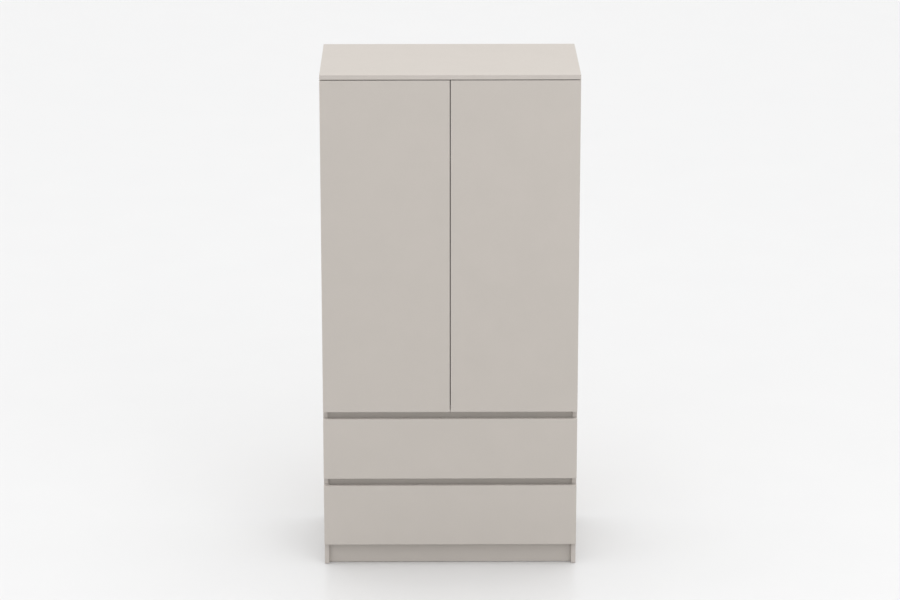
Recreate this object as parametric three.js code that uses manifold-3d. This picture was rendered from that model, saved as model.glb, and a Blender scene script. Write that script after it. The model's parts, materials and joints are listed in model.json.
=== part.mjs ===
// A two-door wardrobe with two wide drawers below, made of melamine-faced boards.
// Millimetres, +Z up. The origin is on the floor, under the middle of the wardrobe:
// +X is to the right of someone facing the doors, and the doors face -Y.

import * as THREE from "three";
import { mergeVertices } from "three/addons/utils/BufferGeometryUtils.js";
import Module from "manifold-3d";

const wasm = await Module();
wasm.setup();

// ---------------------------------------------------------------- driving dimensions

// The whole wardrobe
const wardrobeWidth = 1000;
const wardrobeDepth = 587;
const wardrobeHeight = 1995;

// Boards
const boardThickness = 18;
const backThickness = 3;
const glideHeight = 1.5;
const glideRadius = 8;
const glideInset = 40; // from the front and rear edges of a side panel

// Fronts: the doors and the drawer fronts lie over the edges of the carcass
const frontGap = 3; // between the doors and the front edges of the carcass
const seamGap = 3.5; // between the two doors
const topGap = 3.5; // between the doors and the top panel
const gripGap = 30; // finger gap above each drawer front
const drawerFrontHeight = 247;
const lowestFrontHeight = 89; // from the floor to the lower drawer's front

// Recessed boards behind the fronts
const plinthRecess = 18; // behind the carcass front
const gripRecess = 8; // of the grip rails, behind the carcass front
const middlePanelLift = 2; // the doors' lower edges hang below the middle panel
const upperRailHeight = 65;
const lowerRailHeight = 70;
const lowerRailLift = 8; // of the lower grip rail's top, above the grip gap
const bottomPanelLift = 3; // above the lower edge of the lower drawer's front

// Behind the doors
const shelfDrop = 300; // clear height above the hat shelf
const shelfSetback = 30; // of the hat shelf, behind the carcass front
const railDrop = 60; // from the hat shelf down to the middle of the hanging rail
const railWidth = 15;
const railHeight = 30;
const railWall = 1;
const railEndGap = 1; // from the rail's end to the bottom of its socket
const socketWall = 2.5;
const socketPlateMargin = 5;
const socketPlateThickness = 3;
const socketReach = 12;
const bracketLeg = 40;
const bracketWidth = 30;
const bracketThickness = 2;
const bracketInset = 60; // from the side panel to the bracket's middle
const bracketHoleRadius = 3;

// The back is two sheets of hardboard, joined by a plastic strip with an H section
const backInset = 3; // of the sheets, from the outer faces of the carcass
const backFootHeight = 60;
const backSplitHeight = 1180;
const stripWeb = 2;
const stripLip = 0.8;
const stripReach = 8;

// Concealed hinges, seen from the left side panel: across is measured inwards from
// its outer face, and ahead from the carcass front towards the room
const hingeLevels = ["lower", "middle", "upper"];
const hingeEndDistance = 100; // from the ends of a door to its outermost hinges
const hingeAcross = 8;
const hingeAhead = 14;
const cupRadius = 17.5;
const cupDepth = 14.5;
const cupWall = 1;
const cupEdgeDistance = 3; // from the door's edge to the bore of the cup
const flangeThickness = 1;
const rimWidth = 2;
const flangeHeight = 52;
const flangeWidth = 13;
const pinRadius = 1.1;
const pinClearance = 0.25;
const knuckleWall = 0.85;
const armThickness = 1.6;
const armNoseHeight = 9;
const armSideGap = 5.5; // from the side panel's inner face to the arm's leg
const armReturn = 6; // from the carcass front back to the arm's channel
const armWidth = 14;
const armLength = 56;
const armStandOff = 9; // from the side panel to the top of the arm
const plateThickness = 3.5;
const plateLength = 46;
const plateWidth = 16;
const plateSetback = 14; // from the carcass front to the mounting plate
const wingHeight = 50;
const wingWidth = 14;
const wingSetback = 6; // of the wings, behind the front of the mounting plate
const armScrewRadius = 3.5;
const armScrewHead = 1;

// Drawers run on three-part ball-bearing runners
const drawerSideThickness = 12;
const drawerFootGap = 4; // from the bottom panel to the lower drawer's box
const drawerRailGap = 9; // from a drawer's box to the grip rail above it
const drawerRearGap = 60; // from a drawer's box to the back
const drawerBackDrop = 10; // the back board is lower than the sides
const drawerBottomThickness = 3;
const drawerGrooveLift = 12;
const drawerGrooveDepth = 6;
const grooveClearance = 0.5;
const runnerSpace = 13; // between a side panel and a drawer's side
const runnerMetal = 1.2;
const runnerHeight = 45;
const runnerLipLength = 8.5;
const runnerMiddleOffset = 4.5; // from the side panel to the middle member's web
const runnerBallGap = 1.8; // between one member's lips and the next
const runnerFrontGap = 5; // behind a drawer front

// Fittings that lie on a board keep this clearance to it
const seatGap = 0.2;

// ---------------------------------------------------------------- finishes

const finish = (color, roughness, metalness) =>
  new THREE.MeshStandardMaterial({ color, roughness, metalness });

const melamine = finish(0xc6bfb8, 0.55, 0);
const drawerBoard = finish(0xd9d5cf, 0.6, 0);
const hardboard = finish(0xd8d2ca, 0.7, 0);
const nickel = finish(0xb9b7b2, 0.3, 1);
const zincSteel = finish(0xa9acae, 0.38, 1);
const railSteel = finish(0x8f8d89, 0.35, 1);
const plastic = finish(0x8c8781, 0.6, 0);

// ---------------------------------------------------------------- places

const halfWidth = wardrobeWidth / 2;
const frontPlane = -wardrobeDepth / 2;
const rearPlane = wardrobeDepth / 2;
const frontsBack = frontPlane + boardThickness;
const carcassFront = frontsBack + frontGap;
const carcassRear = rearPlane - stripLip - seatGap - backThickness;
const gripRailFace = carcassFront + gripRecess;
const innerHalfWidth = halfWidth - boardThickness;
const topPanelFoot = wardrobeHeight - boardThickness;
const doorTop = topPanelFoot - topGap;

const drawerFrontFeet = [
  lowestFrontHeight + drawerFrontHeight + gripGap,
  lowestFrontHeight,
];
const doorFoot = drawerFrontFeet[0] + drawerFrontHeight + gripGap;
const middlePanelFoot = doorFoot + middlePanelLift;
const bottomPanelFoot = lowestFrontHeight + bottomPanelLift;
const shelfFoot = topPanelFoot - shelfDrop - boardThickness;
const railMiddle = shelfFoot - railDrop;

// ---------------------------------------------------------------- solids

// Corners lie on a grid of a sixteenth of a millimetre, so boards meet face to face
const sawStep = 1 / 16;
const sawn = (value) => Math.round(value / sawStep) * sawStep;

const toSolid = (geometry) => {
  const bare = geometry.clone();
  bare.deleteAttribute("normal");
  bare.deleteAttribute("uv");
  const merged = mergeVertices(bare, 1e-4);
  return new wasm.Manifold(
    new wasm.Mesh({
      numProp: 3,
      vertProperties: merged.getAttribute("position").array,
      triVerts: new Uint32Array(merged.getIndex().array),
    }),
  );
};

const toGeometry = (solid) => {
  const mesh = solid.getMesh();
  const geometry = new THREE.BufferGeometry();
  geometry.setAttribute("position", new THREE.BufferAttribute(mesh.vertProperties, 3));
  geometry.setIndex(new THREE.BufferAttribute(mesh.triVerts, 1));
  geometry.computeVertexNormals();
  return geometry;
};

const join = (...geometries) =>
  toGeometry(geometries.map(toSolid).reduce((whole, piece) => whole.add(piece)));

const cut = (body, ...tools) =>
  toGeometry(tools.map(toSolid).reduce((rest, tool) => rest.subtract(tool), toSolid(body)));

const keepInside = (body, limit) => toGeometry(toSolid(body).intersect(toSolid(limit)));

// A rectangular block between two opposite corners
const block = (low, high) => {
  const start = new THREE.Vector3(...low.map(sawn));
  const end = new THREE.Vector3(...high.map(sawn));
  const size = end.clone().sub(start);
  const middle = start.add(end).divideScalar(2);
  return new THREE.BoxGeometry(size.x, size.y, size.z).translate(middle.x, middle.y, middle.z);
};

// A round bar round an axis through the origin, between two places on that axis
const roundBar = (axis, radius, start, end, segments = 20) => {
  const [low, high] = [sawn(start), sawn(end)];
  const bar = new THREE.CylinderGeometry(radius, radius, high - low, segments);
  bar.translate(0, (low + high) / 2, 0);
  if (axis === "x") bar.rotateZ(-Math.PI / 2);
  if (axis === "z") bar.rotateX(Math.PI / 2);
  return bar;
};

const outline = (points) =>
  new THREE.Shape(points.map(([x, y]) => new THREE.Vector2(sawn(x), sawn(y))));

// A C-shaped profile: its web stands at `web`, and its two lips reach to `lipEnd`
const channelOutline = (web, lipEnd, halfHeight, metal) => {
  const inside = web + Math.sign(lipEnd - web) * metal;
  return outline([
    [web, -halfHeight],
    [lipEnd, -halfHeight],
    [lipEnd, -halfHeight + metal],
    [inside, -halfHeight + metal],
    [inside, halfHeight - metal],
    [lipEnd, halfHeight - metal],
    [lipEnd, halfHeight],
    [web, halfHeight],
  ]);
};

// An upright slot shape with round ends
const ovalOutline = (width, height) => {
  const radius = width / 2;
  const straight = height / 2 - radius;
  const shape = new THREE.Shape();
  shape.absarc(0, straight, radius, 0, Math.PI);
  shape.absarc(0, -straight, radius, Math.PI, 2 * Math.PI);
  return shape;
};

const extrude = (shape, length) =>
  new THREE.ExtrudeGeometry(shape, { depth: length, bevelEnabled: false, curveSegments: 10 });

// An outline drawn in X and Z, extruded from one place on Y to another
const alongY = (shape, start, end) =>
  extrude(shape, sawn(end) - sawn(start)).rotateX(Math.PI / 2).translate(0, sawn(end), 0);

// An outline drawn in Y and Z, extruded from one place on X to another
const alongX = (shape, start, end) =>
  extrude(shape, sawn(end) - sawn(start))
    .rotateX(Math.PI / 2)
    .rotateZ(Math.PI / 2)
    .translate(sawn(start), 0, 0);

// ---------------------------------------------------------------- scene helpers

const wardrobe = new THREE.Group();

const addPiece = (group, name, geometry, material, position = [0, 0, 0]) => {
  const piece = new THREE.Mesh(geometry, material);
  piece.name = name;
  piece.position.set(...position);
  group.add(piece);
};

const addGroup = (position, turn = 0) => {
  const group = new THREE.Group();
  group.position.set(...position);
  group.rotation.y = turn;
  wardrobe.add(group);
  return group;
};

// Seen from either side panel, the wardrobe is the same: what is fixed to the right one
// is what is fixed to the left one, turned half round so that its +X points inwards
const sides = [
  { name: "left", sign: -1, turn: 0 },
  { name: "right", sign: 1, turn: Math.PI },
];

// ---------------------------------------------------------------- carcass

const addCarcassBoard = (name, low, high, material = melamine) =>
  addPiece(wardrobe, name, block(low, high), material);

const addSidePanel = ({ name, sign }) => {
  const faces = [sign * halfWidth, sign * innerHalfWidth].sort((a, b) => a - b);
  addCarcassBoard(
    `side_panel_${name}`,
    [faces[0], carcassFront, glideHeight],
    [faces[1], carcassRear, topPanelFoot],
  );
};

const addLevelBoard = (name, front, foot) =>
  addCarcassBoard(
    name,
    [-innerHalfWidth, front, foot],
    [innerHalfWidth, carcassRear, foot + boardThickness],
  );

const addUprightBoard = (name, front, foot, top) =>
  addCarcassBoard(
    name,
    [-innerHalfWidth, front, foot],
    [innerHalfWidth, front + boardThickness, top],
  );

const addBackSheet = (name, foot, top) =>
  addCarcassBoard(
    name,
    [-halfWidth + backInset, carcassRear, foot],
    [halfWidth - backInset, carcassRear + backThickness, top],
    hardboard,
  );

const addBackStrip = () => {
  const inner = carcassRear - seatGap;
  const outer = carcassRear + backThickness + seatGap;
  const [foot, top] = [backSplitHeight - stripReach, backSplitHeight + stripReach];
  const [webFoot, webTop] = [backSplitHeight - stripWeb / 2, backSplitHeight + stripWeb / 2];
  const section = outline([
    [inner - stripLip, foot],
    [inner, foot],
    [inner, webFoot],
    [outer, webFoot],
    [outer, foot],
    [outer + stripLip, foot],
    [outer + stripLip, top],
    [outer, top],
    [outer, webTop],
    [inner, webTop],
    [inner, top],
    [inner - stripLip, top],
  ]);
  const reach = innerHalfWidth - seatGap;
  addPiece(wardrobe, "back_joint_strip", alongX(section, -reach, reach), plastic);
};

const addGlides = () => {
  const rows = { front: carcassFront + glideInset, rear: carcassRear - glideInset };
  for (const { name, sign } of sides) {
    for (const [row, y] of Object.entries(rows)) {
      const glide = roundBar("z", glideRadius, 0, glideHeight);
      const x = sign * (halfWidth - boardThickness / 2);
      addPiece(wardrobe, `glide_${row}_${name}`, glide, plastic, [x, y, 0]);
    }
  }
};

const addCarcass = () => {
  sides.forEach(addSidePanel);
  addCarcassBoard(
    "top_panel",
    [-halfWidth, frontPlane, topPanelFoot],
    [halfWidth, carcassRear, wardrobeHeight],
  );
  addLevelBoard("middle_panel", carcassFront, middlePanelFoot);
  addLevelBoard("bottom_panel", carcassFront, bottomPanelFoot);
  addLevelBoard("hat_shelf", carcassFront + shelfSetback, shelfFoot);
  addUprightBoard("plinth_front", carcassFront + plinthRecess, glideHeight, bottomPanelFoot);
  addUprightBoard("plinth_rear", carcassRear - boardThickness, glideHeight, bottomPanelFoot);
  const lowerRailTop = lowestFrontHeight + drawerFrontHeight + gripGap + lowerRailLift;
  addUprightBoard(
    "grip_rail_upper",
    gripRailFace,
    middlePanelFoot - upperRailHeight,
    middlePanelFoot,
  );
  addUprightBoard(
    "grip_rail_lower",
    gripRailFace,
    lowerRailTop - lowerRailHeight,
    lowerRailTop,
  );
  const stripGap = stripWeb / 2 + seatGap;
  addBackSheet("back_panel_lower", backFootHeight, backSplitHeight - stripGap);
  addBackSheet("back_panel_upper", backSplitHeight + stripGap, wardrobeHeight - backInset);
  addBackStrip();
  addGlides();
};

// ---------------------------------------------------------------- hanging rail

// The rail runs from side to side, halfway between the doors and the back
const railDepthPlace = (carcassFront + carcassRear) / 2;

const addHangingRail = () => {
  const section = ovalOutline(railWidth, railHeight);
  section.holes.push(ovalOutline(railWidth - 2 * railWall, railHeight - 2 * railWall));
  const reach = innerHalfWidth - seatGap - socketPlateThickness - railEndGap;
  const rail = alongX(section, -reach, reach);
  addPiece(wardrobe, "hanging_rail", rail, railSteel, [0, railDepthPlace, railMiddle]);
};

const addRailSocket = ({ name, sign, turn }) => {
  const grown = (margin) => ovalOutline(railWidth + 2 * margin, railHeight + 2 * margin);
  const ring = grown(seatGap + socketWall);
  ring.holes.push(grown(seatGap));
  const plateFoot = seatGap;
  const plateTop = plateFoot + socketPlateThickness;
  const socket = join(
    alongX(grown(seatGap + socketPlateMargin), plateFoot, plateTop),
    alongX(ring, (plateFoot + plateTop) / 2, plateTop + socketReach),
  );
  const place = addGroup([sign * innerHalfWidth, railDepthPlace, railMiddle], turn);
  addPiece(place, `rail_socket_${name}`, socket, railSteel);
};

// ---------------------------------------------------------------- anti-tip brackets

// A steel angle under the top panel, against the back: the wall screw goes through it
const addTipBracket = ({ name, sign }) => {
  const rear = -seatGap;
  const top = -seatGap;
  const angle = outline([
    [rear - bracketLeg, top],
    [rear, top],
    [rear, top - bracketLeg],
    [rear - bracketThickness, top - bracketLeg],
    [rear - bracketThickness, top - bracketThickness],
    [rear - bracketLeg, top - bracketThickness],
  ]);
  const halfLeg = bracketLeg / 2;
  const wallHole = roundBar("y", bracketHoleRadius, -bracketLeg / 2, bracketThickness);
  const panelHole = roundBar("z", bracketHoleRadius, -bracketLeg / 2, bracketThickness);
  const bracket = cut(
    alongX(angle, -bracketWidth / 2, bracketWidth / 2),
    wallHole.translate(0, 0, top - halfLeg),
    panelHole.translate(0, rear - halfLeg, 0),
  );
  const x = sign * (innerHalfWidth - bracketInset);
  addPiece(wardrobe, `tip_bracket_${name}`, bracket, zincSteel, [x, carcassRear, topPanelFoot]);
};

// ---------------------------------------------------------------- doors and hinges

// A hinge is drawn round its pin: +X inwards from the side panel, +Y to the rear
const doorWidth = (wardrobeWidth - seamGap) / 2;
const doorHeight = doorTop - doorFoot;
const doorFace = hingeAhead - frontGap; // the door's inner face, behind the pin
const cupMiddle = cupEdgeDistance + cupRadius - hingeAcross;
const hingeStep = (doorHeight - 2 * hingeEndDistance) / (hingeLevels.length - 1);

const doorBoard = (hingeHeights) => {
  const board = block(
    [-hingeAcross, doorFace - boardThickness, -doorHeight / 2],
    [doorWidth - hingeAcross, doorFace, doorHeight / 2],
  );
  const boreFloor = doorFace - cupDepth - seatGap;
  const bores = hingeHeights.map((height) =>
    roundBar("y", cupRadius + seatGap, boreFloor, doorFace + 1, 32)
      .translate(cupMiddle, 0, height),
  );
  return cut(board, ...bores);
};

const hingeCup = () => {
  const foot = doorFace - cupDepth;
  const seat = doorFace + seatGap;
  const top = seat + flangeThickness;
  const cup = roundBar("y", cupRadius, foot, top, 32);
  const rim = roundBar("y", cupRadius + rimWidth, seat, top, 32);
  const flange = block(
    [-flangeWidth / 2, seat, -flangeHeight / 2],
    [flangeWidth / 2, top, flangeHeight / 2],
  );
  const hollow = roundBar("y", cupRadius - cupWall, foot + cupWall, top + 1, 32);
  const shell = cut(join(cup, rim, flange), hollow).translate(cupMiddle, 0, 0);
  const wallMiddle = roundBar("y", cupRadius - cupWall / 2, foot, top, 32);
  const pin = roundBar("z", pinRadius, -cupRadius, cupRadius, 12);
  return join(shell, keepInside(pin, wallMiddle.translate(cupMiddle, 0, 0)));
};

const hingeArm = () => {
  const half = armThickness / 2;
  const noseHalf = armNoseHeight / 2;
  const armHalf = armWidth / 2;
  const bore = pinRadius + pinClearance;
  const sideFace = boardThickness - hingeAcross;
  const legMiddle = sideFace + armSideGap;
  const channelFront = hingeAhead + armReturn;
  const channelRear = channelFront + armLength;
  const channelTop = sideFace + armStandOff;
  const plateFoot = sideFace + seatGap;
  const plateTop = plateFoot + plateThickness;
  const plateFront = hingeAhead + plateSetback;
  const wingFront = plateFront + wingSetback;
  const wingRear = wingFront + wingWidth;
  const knuckle = roundBar("z", bore + knuckleWall, -noseHalf, noseHalf, 16);
  const nose = block([0, -half, -noseHalf], [legMiddle + half, half, noseHalf]);
  const leg = block(
    [legMiddle - half, 0, -noseHalf],
    [legMiddle + half, channelFront, noseHalf],
  );
  const frontPlate = block(
    [legMiddle - half, channelFront - armThickness, -armHalf],
    [channelTop + armThickness, channelFront, armHalf],
  );
  const web = block(
    [channelTop, channelFront - armThickness, -armHalf],
    [channelTop + armThickness, channelRear, armHalf],
  );
  const cheeks = [-armHalf, armHalf - armThickness].map((foot) =>
    block(
      [plateTop - half, channelFront - armThickness, foot],
      [channelTop + half, channelRear, foot + armThickness],
    ),
  );
  const plate = block(
    [plateFoot, plateFront, -plateWidth / 2],
    [plateTop, plateFront + plateLength, plateWidth / 2],
  );
  const wings = block(
    [plateFoot, wingFront, -wingHeight / 2],
    [plateTop, wingRear, wingHeight / 2],
  );
  const screwTop = channelTop + armThickness + armScrewHead;
  const screw = roundBar("x", armScrewRadius, plateFoot, screwTop, 16)
    .translate(0, (wingFront + wingRear) / 2, 0);
  return cut(
    join(knuckle, nose, leg, frontPlate, web, ...cheeks, plate, wings, screw),
    roundBar("z", bore, -armNoseHeight, armNoseHeight, 16),
  );
};

const addDoor = ({ name, sign, turn }) => {
  const pinX = sign * (halfWidth - hingeAcross);
  const hingeLine = addGroup([pinX, carcassFront - hingeAhead, (doorFoot + doorTop) / 2], turn);
  const middleLevel = (hingeLevels.length - 1) / 2;
  const heights = hingeLevels.map((level, index) => -sign * (index - middleLevel) * hingeStep);
  addPiece(hingeLine, `door_${name}`, doorBoard(heights), melamine);
  hingeLevels.forEach((level, index) => {
    const place = [0, 0, heights[index]];
    addPiece(hingeLine, `hinge_cup_${name}_${level}`, hingeCup(), nickel, place);
    addPiece(hingeLine, `hinge_arm_${name}_${level}`, hingeArm(), nickel, place);
  });
};

// ---------------------------------------------------------------- drawers and runners

// A drawer is drawn from the lower edge of its front upwards, and both are the same:
// their boxes fit over the bottom panel and under the lower of the two grip rails
const drawerOuter = innerHalfWidth - runnerSpace;
const drawerInner = drawerOuter - drawerSideThickness;
const drawerRear = carcassRear - drawerRearGap;
const drawerPitch = drawerFrontHeight + gripGap;
const railClearance = Math.min(
  drawerPitch + middlePanelLift - upperRailHeight,
  drawerPitch + lowerRailLift - lowerRailHeight,
);
const boxFoot = bottomPanelLift + boardThickness + drawerFootGap;
const boxTop = railClearance - drawerRailGap;
const grooveFoot = boxFoot + drawerGrooveLift;
const grooveTop = grooveFoot + drawerBottomThickness + grooveClearance;
const grooveWall = drawerInner + drawerGrooveDepth;
const runnerFront = frontsBack + runnerFrontGap;
const runnerMiddle = (boxFoot + boxTop) / 2;

const drawerFront = () =>
  cut(
    block([-halfWidth, frontPlane, 0], [halfWidth, frontsBack, drawerFrontHeight]),
    block(
      [-grooveWall, frontsBack - drawerGrooveDepth, grooveFoot],
      [grooveWall, frontsBack + 1, grooveTop],
    ),
  );

const drawerSide = (sign) => {
  const section = outline([
    [sign * drawerInner, boxFoot],
    [sign * drawerOuter, boxFoot],
    [sign * drawerOuter, boxTop],
    [sign * drawerInner, boxTop],
    [sign * drawerInner, grooveTop],
    [sign * grooveWall, grooveTop],
    [sign * grooveWall, grooveFoot],
    [sign * drawerInner, grooveFoot],
  ]);
  return alongY(section, frontsBack, drawerRear);
};

const addDrawer = (name, foot) => {
  const drawer = addGroup([0, 0, foot]);
  const bottomReach = grooveWall - grooveClearance;
  addPiece(drawer, `${name}_drawer_front`, drawerFront(), melamine);
  for (const side of sides) {
    addPiece(drawer, `${name}_drawer_side_${side.name}`, drawerSide(side.sign), drawerBoard);
  }
  const bottom = block(
    [-bottomReach, frontsBack - drawerGrooveDepth + grooveClearance, grooveFoot],
    [bottomReach, drawerRear, grooveFoot + drawerBottomThickness],
  );
  const back = block(
    [-drawerInner, drawerRear - drawerSideThickness, grooveFoot + drawerBottomThickness],
    [drawerInner, drawerRear, boxTop - drawerBackDrop],
  );
  addPiece(drawer, `${name}_drawer_bottom`, bottom, hardboard);
  addPiece(drawer, `${name}_drawer_back`, back, drawerBoard);
};

// The three members of a runner nest in each other. Their sections are drawn with X
// from the side panel inwards, and each is lower than the one it slides in
const runnerStep = runnerMetal + runnerBallGap;
const runnerHalfHeight = runnerHeight / 2;
const runnerDrawerWeb = runnerSpace - seatGap;
const runnerMembers = {
  cabinet: { web: seatGap, lip: runnerLipLength, halfHeight: runnerHalfHeight },
  middle: {
    web: runnerMiddleOffset,
    lip: runnerMiddleOffset + runnerLipLength - runnerBallGap,
    halfHeight: runnerHalfHeight - runnerStep,
  },
  drawer: {
    web: runnerDrawerWeb,
    lip: runnerMiddleOffset + runnerStep,
    halfHeight: runnerHalfHeight - 2 * runnerStep,
  },
};

const addRunners = (name, foot) => {
  for (const side of sides) {
    const height = foot + runnerMiddle;
    const place = addGroup([side.sign * innerHalfWidth, runnerFront, height], side.turn);
    for (const [member, { web, lip, halfHeight }] of Object.entries(runnerMembers)) {
      const section = channelOutline(web, lip, halfHeight, runnerMetal);
      const profile = alongY(section, 0, drawerRear - runnerFront);
      addPiece(place, `${name}_runner_${member}_${side.name}`, profile, zincSteel);
    }
  }
};

// ---------------------------------------------------------------- the wardrobe

addCarcass();
addHangingRail();
sides.forEach(addRailSocket);
sides.forEach(addTipBracket);
sides.forEach(addDoor);
["upper", "lower"].forEach((name, index) => {
  addDrawer(name, drawerFrontFeet[index]);
  addRunners(name, drawerFrontFeet[index]);
});

export default wardrobe;
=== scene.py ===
# %% [markdown]
# # A wardrobe, finished
#
# This lesson dresses a wardrobe whose joinery is already worked out: two doors above two
# wide drawers, all faced with matt greige melamine. A first model holds every board,
# hinge and runner at its true size. A camera and a studio come first, so that every later
# step can be seen. Then each board gets its edge band and each metal part its plating, and
# the small fittings that hold a wardrobe together are added.

# %% Load the frame
import json
import math

import bmesh
import bpy
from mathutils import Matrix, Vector


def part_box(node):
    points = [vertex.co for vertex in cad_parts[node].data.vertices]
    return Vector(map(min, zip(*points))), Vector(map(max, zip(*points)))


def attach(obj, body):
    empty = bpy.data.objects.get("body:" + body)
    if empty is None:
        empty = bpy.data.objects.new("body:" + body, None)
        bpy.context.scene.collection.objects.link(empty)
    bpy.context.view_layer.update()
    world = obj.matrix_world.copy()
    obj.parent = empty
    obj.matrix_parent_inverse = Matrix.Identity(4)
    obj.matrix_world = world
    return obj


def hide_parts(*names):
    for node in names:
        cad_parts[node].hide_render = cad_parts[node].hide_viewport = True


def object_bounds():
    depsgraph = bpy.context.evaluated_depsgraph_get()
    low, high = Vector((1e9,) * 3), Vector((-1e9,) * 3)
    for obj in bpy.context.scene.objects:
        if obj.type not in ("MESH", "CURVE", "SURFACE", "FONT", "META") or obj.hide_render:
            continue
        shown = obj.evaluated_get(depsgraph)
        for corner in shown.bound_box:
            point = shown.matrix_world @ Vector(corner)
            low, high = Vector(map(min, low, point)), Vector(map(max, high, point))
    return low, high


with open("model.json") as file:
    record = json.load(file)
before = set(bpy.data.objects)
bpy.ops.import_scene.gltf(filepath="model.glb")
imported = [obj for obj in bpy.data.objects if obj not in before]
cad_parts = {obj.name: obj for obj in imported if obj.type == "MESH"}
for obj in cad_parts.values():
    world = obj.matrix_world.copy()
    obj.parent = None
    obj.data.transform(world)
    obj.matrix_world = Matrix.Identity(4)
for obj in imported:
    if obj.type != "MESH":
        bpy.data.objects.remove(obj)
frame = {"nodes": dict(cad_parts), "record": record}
frame_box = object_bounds()

MM = 0.001
BODY_OF = {node: body for body, nodes in frame["record"]["behaviour"]["bodies"].items() for node in nodes}
SLOT_OF = {part["node"]: part["material_slot"] for part in frame["record"]["subparts"]}
LOW, HIGH = frame_box
WIDTH, DEPTH, HEIGHT = HIGH - LOW
print(f"wardrobe: {WIDTH:.3f} m wide, {DEPTH:.3f} m deep, {HEIGHT:.3f} m high, {len(SLOT_OF)} parts")

# %% [markdown]
# ## The camera
#
# A catalogue picture of furniture is taken from far away with a long lens, because that
# keeps upright edges upright. The camera could be turned by three angles typed in by hand,
# but it is easier to say where it stands and what it looks at, and to let Blender work out
# the turn. It stands 12.6 m off, a little above the wardrobe, and looks down on it.

# %% Place the camera
CAMERA_DISTANCE = 12.561
CAMERA_AZIMUTH = math.radians(-0.4495)
CAMERA_ELEVATION = math.radians(16.247)
CAMERA_AIM = Vector((-0.0009, LOW.y, 1.1014))
CAMERA_LENS = 129.13

level = CAMERA_DISTANCE * math.cos(CAMERA_ELEVATION)
camera = bpy.data.objects.new("camera", bpy.data.cameras.new("camera"))
camera.location = CAMERA_AIM + Vector((
    level * math.sin(CAMERA_AZIMUTH),
    -level * math.cos(CAMERA_AZIMUTH),
    CAMERA_DISTANCE * math.sin(CAMERA_ELEVATION),
))
camera.rotation_euler = (CAMERA_AIM - camera.location).to_track_quat("-Z", "Y").to_euler()
camera.data.lens = CAMERA_LENS
camera.data.sensor_width = 36
camera.data.clip_end = 200
bpy.context.scene.collection.objects.link(camera)
bpy.context.scene.camera = camera
print("camera at", tuple(round(value, 3) for value in camera.location))

# %% [markdown]
# ## Helpers for node trees
#
# Materials and Geometry Nodes are both trees of nodes. One helper adds a node to either
# kind: it sets the node's options, and for each input it either stores a value or, if it
# is given the output of another node, draws the link. The others are the short recipes
# that most finishes share: a soft noise, two colours laid along it, a spread of roughness,
# a bump, and edges that are rubbed pale because they stand out.

# %% Node helpers
MIX_FIRST, MIX_SECOND, MIX_RESULT = 6, 7, 2  # a Mix node's sockets for colour, which share their names
POINTED_FROM, POINTED_TO = 0.52, 0.62


def add_node(tree, kind, inputs=None, **options):
    node = tree.nodes.new(kind)
    for name, value in options.items():
        setattr(node, name, value)
    for name, value in (inputs or {}).items():
        if isinstance(value, bpy.types.NodeSocket):
            tree.links.new(value, node.inputs[name])
        else:
            node.inputs[name].default_value = value
    return node


def new_material(name, roughness, metallic=0.0, ior_level=0.5):
    material = bpy.data.materials.new(name)
    material.use_nodes = True
    shader = material.node_tree.nodes["Principled BSDF"]
    shader.inputs["Roughness"].default_value = roughness
    shader.inputs["Metallic"].default_value = metallic
    shader.inputs["Specular IOR Level"].default_value = ior_level
    place = add_node(material.node_tree, "ShaderNodeTexCoord").outputs["Object"]
    return material, material.node_tree, shader, place


def grain_noise(tree, place, scale, detail=2.0, rough=0.5):
    return add_node(tree, "ShaderNodeTexNoise", {
        "Vector": place, "Scale": scale, "Detail": detail, "Roughness": rough,
    }).outputs["Fac"]


def mottled(tree, factor, dark, light, start=0.35, end=0.65):
    ramp = add_node(tree, "ShaderNodeValToRGB", {"Fac": factor})
    ramp.color_ramp.elements[0].position = start
    ramp.color_ramp.elements[1].position = end
    ramp.color_ramp.elements[0].color = (*dark, 1.0)
    ramp.color_ramp.elements[1].color = (*light, 1.0)
    return ramp.outputs["Color"]


def spread(tree, factor, low, high):
    inputs = {"Value": factor, "To Min": low, "To Max": high}
    return add_node(tree, "ShaderNodeMapRange", inputs).outputs["Result"]


def bumped(tree, shader, factor, strength, distance):
    bump = add_node(tree, "ShaderNodeBump", {"Height": factor, "Strength": strength, "Distance": distance})
    tree.links.new(bump.outputs["Normal"], shader.inputs["Normal"])


def blended(tree, factor, first, second):
    mix = add_node(tree, "ShaderNodeMix", {"Factor": factor}, data_type="RGBA")
    for socket, value in ((mix.inputs[MIX_FIRST], first), (mix.inputs[MIX_SECOND], second)):
        if isinstance(value, bpy.types.NodeSocket):
            tree.links.new(value, socket)
        else:
            socket.default_value = (*value, 1.0)
    return mix.outputs[MIX_RESULT]


def math_of(tree, operation, first, second):
    node = add_node(tree, "ShaderNodeMath", operation=operation)
    for socket, value in zip(node.inputs, (first, second)):
        if isinstance(value, bpy.types.NodeSocket):
            tree.links.new(value, socket)
        else:
            socket.default_value = value
    return node.outputs[0]


def stretched(tree, place, scale):
    return add_node(tree, "ShaderNodeMapping", {"Vector": place, "Scale": scale}).outputs["Vector"]


def rubbed_edges(tree):
    sharpness = add_node(tree, "ShaderNodeNewGeometry").outputs["Pointiness"]
    return add_node(tree, "ShaderNodeMapRange", {
        "Value": sharpness, "From Min": POINTED_FROM, "From Max": POINTED_TO,
    }).outputs["Result"]


print("node helpers ready")

# %% [markdown]
# ## The studio
#
# Floor and air are near white. The light could come from one strong lamp, but that would
# draw hard shadows. A white world shines from all around, as in a light tent. One very wide
# sun stands in for the big softbox overhead, which makes the top brighter than the fronts.
# A second, weaker one high in front lets the finger gaps and the plinth grow lighter
# downwards, and one small softbox in front lifts the doors.

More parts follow.
